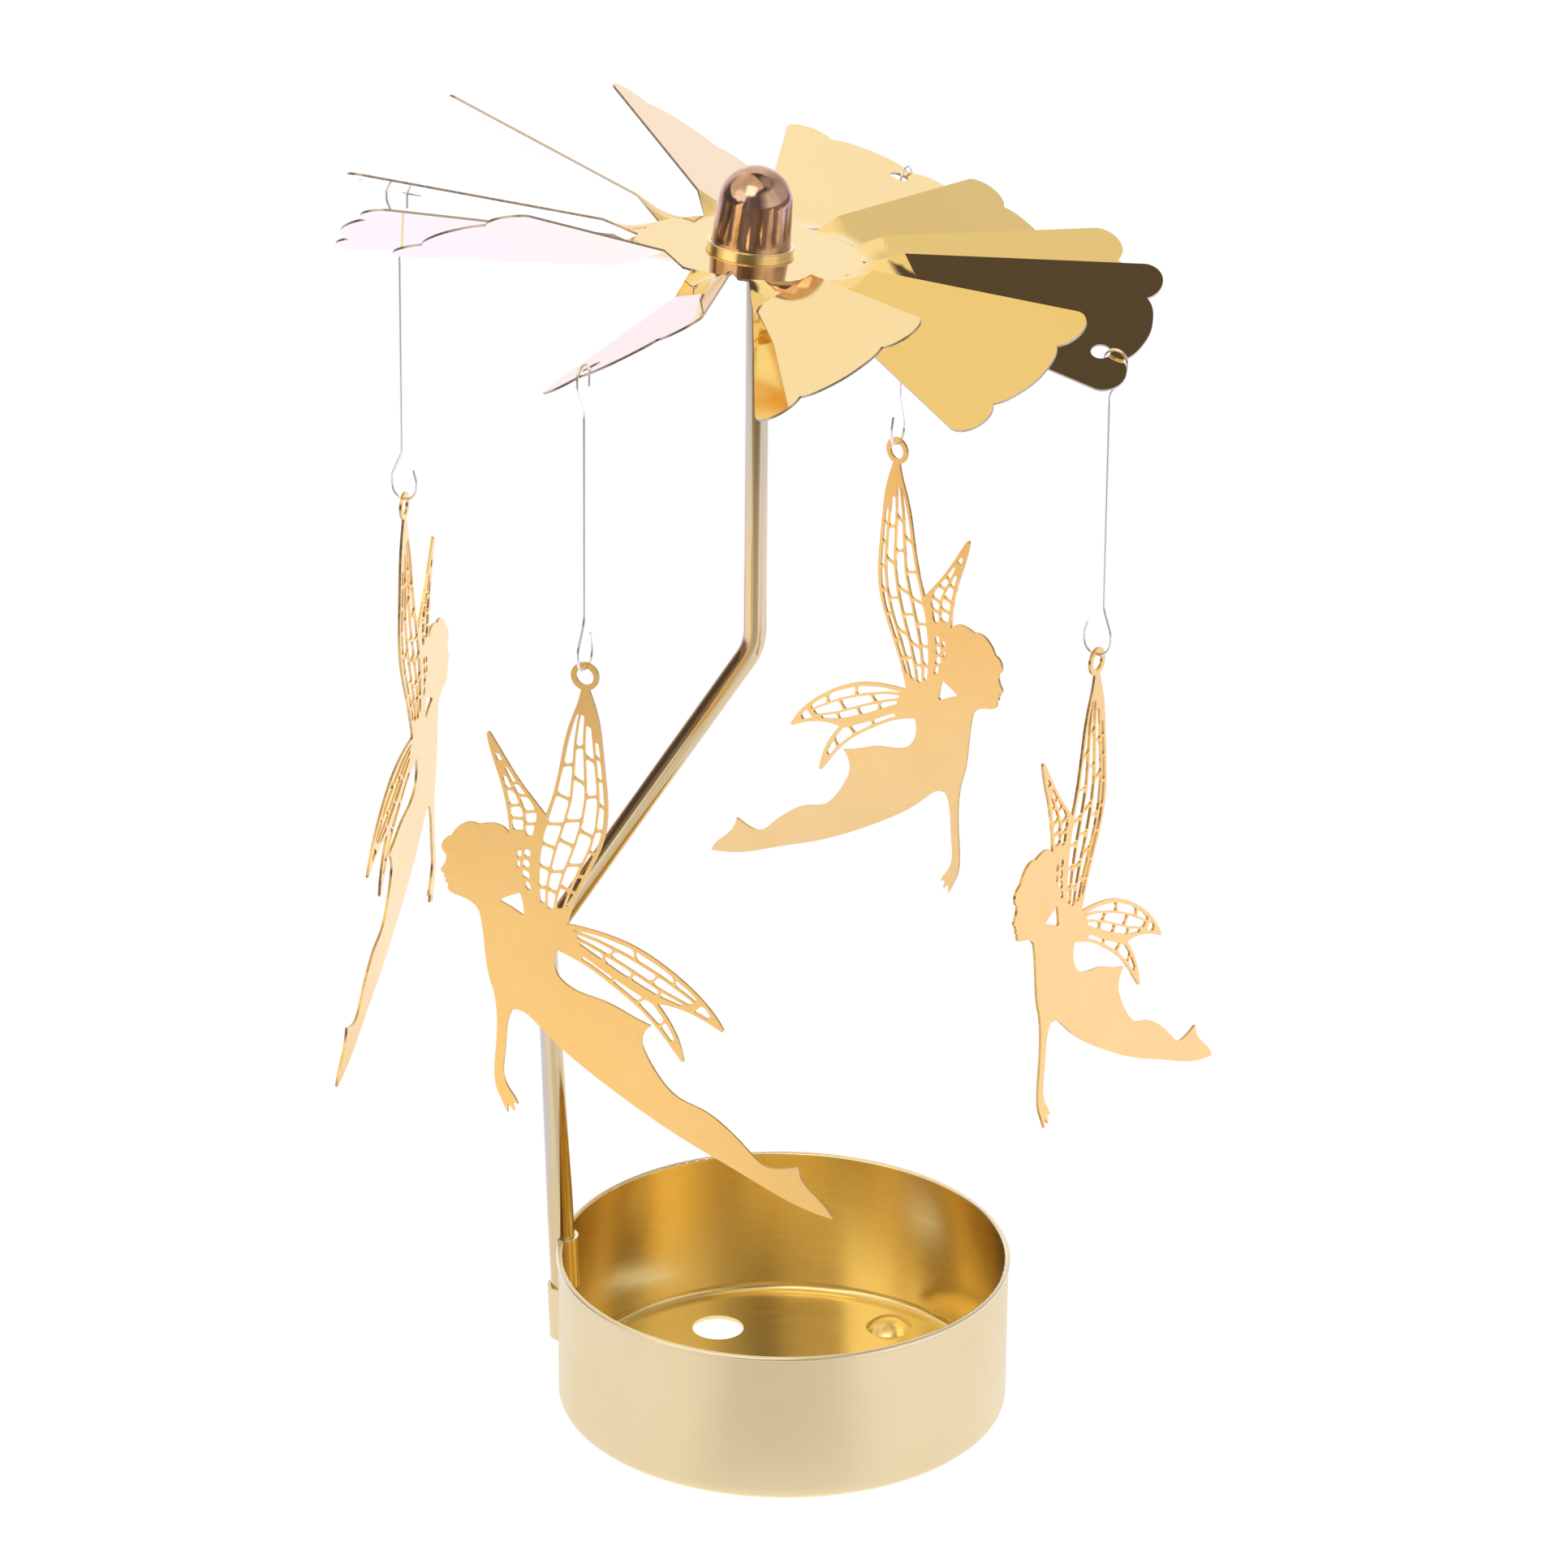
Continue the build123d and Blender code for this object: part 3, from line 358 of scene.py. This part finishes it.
def table_glow():
    """What the metal mirrors of the table: even round the object, lit to either
    side and behind, and falling off towards the unlit side of the room."""
    m, t = material("table_glow")
    geo = t.add("ShaderNodeNewGeometry").outputs["Position"]
    x, y, z = t.xyz(geo)
    r = t.math("SQRT", t.math("ADD", t.math("MULTIPLY", x, x), t.math("MULTIPLY", y, y)))
    u = turn(t, x, y)
    # colours are halved here and doubled by the emission's strength
    near = (0.51, 0.505, 0.51)
    # each side has its own run of tones outward, over the first half metre
    out = t.math("DIVIDE", r, 0.5)
    left = t.ramp(out, [(0.0, near), (0.16, near), (0.26, (0.58, 0.555, 0.56)), (0.60, (0.58, 0.555, 0.56)),
                        (0.74, (0.45, 0.51, 0.76)), (1.0, (0.44, 0.50, 0.775))])
    blue = t.ramp(out, [(0.0, near), (0.15, near), (0.21, (0.44, 0.50, 0.79)), (0.31, (0.46, 0.51, 0.74)),
                        (0.36, (0.60, 0.56, 0.53)), (0.60, (0.60, 0.56, 0.53)), (0.74, (0.45, 0.51, 0.76)),
                        (1.0, (0.44, 0.50, 0.775))])
    front = t.ramp(out, [(0.0, near), (0.06, near), (0.09, (0.40, 0.395, 0.39)), (0.15, (0.40, 0.395, 0.39)),
                         (0.18, (0.44, 0.435, 0.43)), (0.26, (0.44, 0.435, 0.43)), (0.40, (0.29, 0.28, 0.27)),
                         (0.64, (0.27, 0.26, 0.25)), (1.0, (0.2, 0.19, 0.18))])
    right = t.ramp(out, [(0.0, near), (0.18, near), (0.28, (0.55, 0.55, 0.67)), (0.60, (0.55, 0.55, 0.68)),
                         (0.74, (0.40, 0.455, 0.66)), (1.0, (0.38, 0.44, 0.65))])
    is_blue = t.ramp(u, by_heading([(-180, 1.0), (-165, 1.0), (-140, 0.0), (118, 0.0), (132, 1.0), (180, 1.0)]))
    is_front = t.ramp(u, by_heading([(-180, 0.0), (-124, 0.0), (-108, 1.0), (-72, 1.0), (-54, 0.0), (180, 0.0)]))
    is_right = t.ramp(u, by_heading([(-180, 0.0), (-90, 0.0), (-89, 1.0), (80, 1.0), (100, 0.0), (180, 0.0)]))
    side = t.mix(is_right, t.mix(is_blue, left, blue), right)
    front = t.mix(is_front, side, front)
    # where the light ends, by heading
    reach = t.ramp(u, by_heading([
        (-180, 0.43), (-150, 0.42), (-142, 0.395), (-130, 0.335), (-115, 0.325), (-90, 0.33), (-57, 0.335),
        (-45, 0.40), (-22, 0.6), (20, 0.8), (50, 1.0), (130, 1.0), (150, 0.45), (180, 0.43)]))
    front = t.mix(t.remap(t.math("DIVIDE", r, reach), 0.87, 1.15, 0.0, 1.0, True), front, (0.14, 0.10, 0.064))
    back = t.ramp(u, by_heading([(-180, 0.0), (42, 0.0), (62, 1.0), (130, 1.0), (152, 0.0), (180, 0.0)]))
    pool = t.ramp(u, by_heading([(-180, (0.52, 0.57, 1.0)), (74, (0.545, 0.63, 0.82)), (90, (0.535, 0.59, 0.82)),
                                 (104, (0.535, 0.572, 0.93)), (125, (0.525, 0.57, 0.98)), (180, (0.52, 0.57, 1.0))]))
    beyond = t.ramp(t.math("DIVIDE", r, 2.0), [
        (0.0, (0.515, 0.52, 0.70)), (0.15, (0.515, 0.52, 0.70)), (0.43, (0.51, 0.49, 0.63)), (1.0, (0.495, 0.465, 0.51))])
    behind = t.mix(t.remap(r, 0.07, 0.13, 0.0, 1.0, True), near, pool)
    behind = t.mix(t.remap(r, 0.29, 0.45, 0.0, 1.0, True), behind, beyond)
    em = t.add("ShaderNodeEmission")
    t.link(t.mix(back, front, behind), em.inputs["Color"])
    em.inputs["Strength"].default_value = 2.0
    end = t.add("ShaderNodeOutputMaterial")
    t.link(em.outputs[0], end.inputs["Surface"])
    return m


F = 9000.0
FLAT = [(-F, -F), (F, -F), (F, F), (-F, F)]
WHITE = plain_white()
floor = sheet_of("floor", [(x, y, 0.0) for x, y in FLAT], [(0, 1, 2, 3)], WHITE)
N_BACK, R_BACK, H_BACK = 64, 8900.0, 12000.0
wall = [(R_BACK * math.cos(2 * math.pi * k / N_BACK), R_BACK * math.sin(2 * math.pi * k / N_BACK), h)
        for h in (-1.0, H_BACK) for k in range(N_BACK)]
backdrop = sheet_of("backdrop", wall,
                    [(k, (k + 1) % N_BACK, N_BACK + (k + 1) % N_BACK, N_BACK + k) for k in range(N_BACK)]
                    + [tuple(range(N_BACK, 2 * N_BACK))], WHITE)
for o in (floor, backdrop):
    o.visible_diffuse = o.visible_glossy = o.visible_transmission = o.visible_shadow = False
glow = sheet_of("glow", [(x, y, -0.02) for x, y in FLAT], [(0, 1, 2, 3)], table_glow())
glow.visible_camera = False

# room: a bright backdrop behind, a softbox on either side in front, dark elsewhere
world = bpy.data.worlds.new("studio")
scene.world = world
world.use_nodes = True
w = Tree(world.node_tree)
d = w.add("ShaderNodeTexCoord").outputs["Generated"]
wx, wy, wz = w.xyz(d)
wu = turn(w, wx, wy)
ring = w.ramp(wu, by_heading([
    (-180, 0.0), (-128, 0.0), (-114, 0.17), (-102, 0.06), (-76, 0.06), (-69, 0.22), (-60, 0.37),
    (-46, 0.8), (-16, 0.8), (2, 0.45), (42, 0.42), (56, 0.62), (65, 0.66), (78, 0.93), (122, 0.90),
    (136, 0.45), (148, 0.06), (162, 0.0), (180, 0.0)]))
back = w.ramp(wu, by_heading([(-180, 0.0), (30, 0.0), (55, 1.0), (130, 1.0), (150, 0.0), (180, 0.0)]))
low_back = w.remap(wz, 0.79, 0.88, 1.0, 0.0, True)
low_front = w.remap(wz, 0.60, 0.80, 1.0, 0.0, True)
low = w.math("ADD", w.math("MULTIPLY", back, low_back),
             w.math("MULTIPLY", w.math("SUBTRACT", 1.0, back), low_front))


def dot3(c):
    return w.math("ADD", w.math("ADD", w.math("MULTIPLY", wx, c[0]), w.math("MULTIPLY", wy, c[1])),
                  w.math("MULTIPLY", wz, c[2]))


def panel(heading, elevation, half_u, half_v, roll, soft=0.06):
    """A flat softbox far away: 1 inside, 0 outside. Half sizes are tangents."""
    h, e = math.radians(heading), math.radians(elevation)
    c = Vector((math.cos(e) * math.cos(h), math.cos(e) * math.sin(h), math.sin(e)))
    u0 = Vector((-math.sin(h), math.cos(h), 0.0))
    v0 = c.cross(u0)
    k, q = math.cos(math.radians(roll)), math.sin(math.radians(roll))
    ahead = dot3(c)
    safe = w.math("MAXIMUM", ahead, 0.05)
    pu = w.math("ABSOLUTE", w.math("DIVIDE", dot3(u0 * k + v0 * q), safe))
    pv = w.math("ABSOLUTE", w.math("DIVIDE", dot3(v0 * k - u0 * q), safe))
    inside = w.math("MULTIPLY", w.remap(pu, half_u - soft, half_u + soft, 1.0, 0.0, True),
                    w.remap(pv, half_v - soft, half_v + soft, 1.0, 0.0, True))
    return w.math("MULTIPLY", inside, w.remap(ahead, 0.05, 0.1, 0.0, 1.0))


def toward(heading, elevation):
    h, e = math.radians(heading), math.radians(elevation)
    return Vector((math.cos(e) * math.cos(h), math.cos(e) * math.sin(h), math.sin(e)))


def canopy(corners, soft):
    """A large overhead panel with these corners: 1 inside, 0 outside."""
    dirs = [toward(*c) for c in corners]
    middle = sum(dirs, Vector())
    inside = None
    for a, b in zip(dirs, dirs[1:] + dirs[:1]):
        n = a.cross(b).normalized()
        if n.dot(middle) < 0:
            n = -n
        part = w.remap(dot3(n), -soft, soft, 0.0, 1.0, True)
        inside = part if inside is None else w.math("MULTIPLY", inside, part)
    return inside


lum = w.math("MULTIPLY", ring, low)
lum = w.math("ADD", lum, w.math("MULTIPLY", panel(57, 50, 0.22, 0.16, 0, 0.12), 0.10))
lum = w.math("ADD", lum, w.math("MULTIPLY", panel(8, 63, 0.30, 0.24, 0, 0.12), 0.35))
tint = w.mix(w.remap(wz, 0.30, 0.46, 0.0, 1.0, True), (1.0, 0.985, 0.96), (1.0, 0.93, 0.72))
sky = w.add("ShaderNodeMix", data_type="RGBA", blend_type="MULTIPLY")
sky.inputs[0].default_value = 1.0
w.link(tint, sky.inputs[6])
w.link(lum, sky.inputs[7])
dim = w.add("ShaderNodeMix", data_type="RGBA", blend_type="ADD")
dim.inputs[0].default_value = 1.0
w.link(sky.outputs[2], dim.inputs[6])
dim.inputs[7].default_value = (0.097, 0.080, 0.080, 1.0)
sky = w.mix(canopy([(150, 25), (116, 49), (-39, 59), (-104, 35), (-170, 15)], 0.035), dim.outputs[2], (0.92, 0.81, 0.56))
sky = w.mix(panel(-146, 31, 0.36, 0.24, 0, 0.06), sky, (1.35, 1.28, 1.12))
sky = w.mix(panel(-148, 20, 0.12, 0.10, 0, 0.05), sky, (1.4, 1.35, 1.26))
bg = w.add("ShaderNodeBackground")
w.link(sky, bg.inputs["Color"])
bg.inputs["Strength"].default_value = 1.0
wo = w.add("ShaderNodeOutputWorld")
w.link(bg.outputs[0], wo.inputs["Surface"])


def area(name, at, aim, size, power, color=(1, 1, 1)):
    l = bpy.data.lights.new(name, "AREA")
    l.shape = "RECTANGLE"
    l.size, l.size_y = size[0] * MM, size[1] * MM
    l.energy = power
    l.color = color
    o = bpy.data.objects.new(name, l)
    scene.collection.objects.link(o)
    o.location = Vector(at) * MM
    o.rotation_mode = "QUATERNION"
    o.rotation_quaternion = (Vector(aim) - Vector(at)).to_track_quat("-Z", "Y")
    return o


area("fill", (-350, -900, 1500), (0, 0, 60), (900, 900), 3.0, (1.0, 0.97, 0.94))
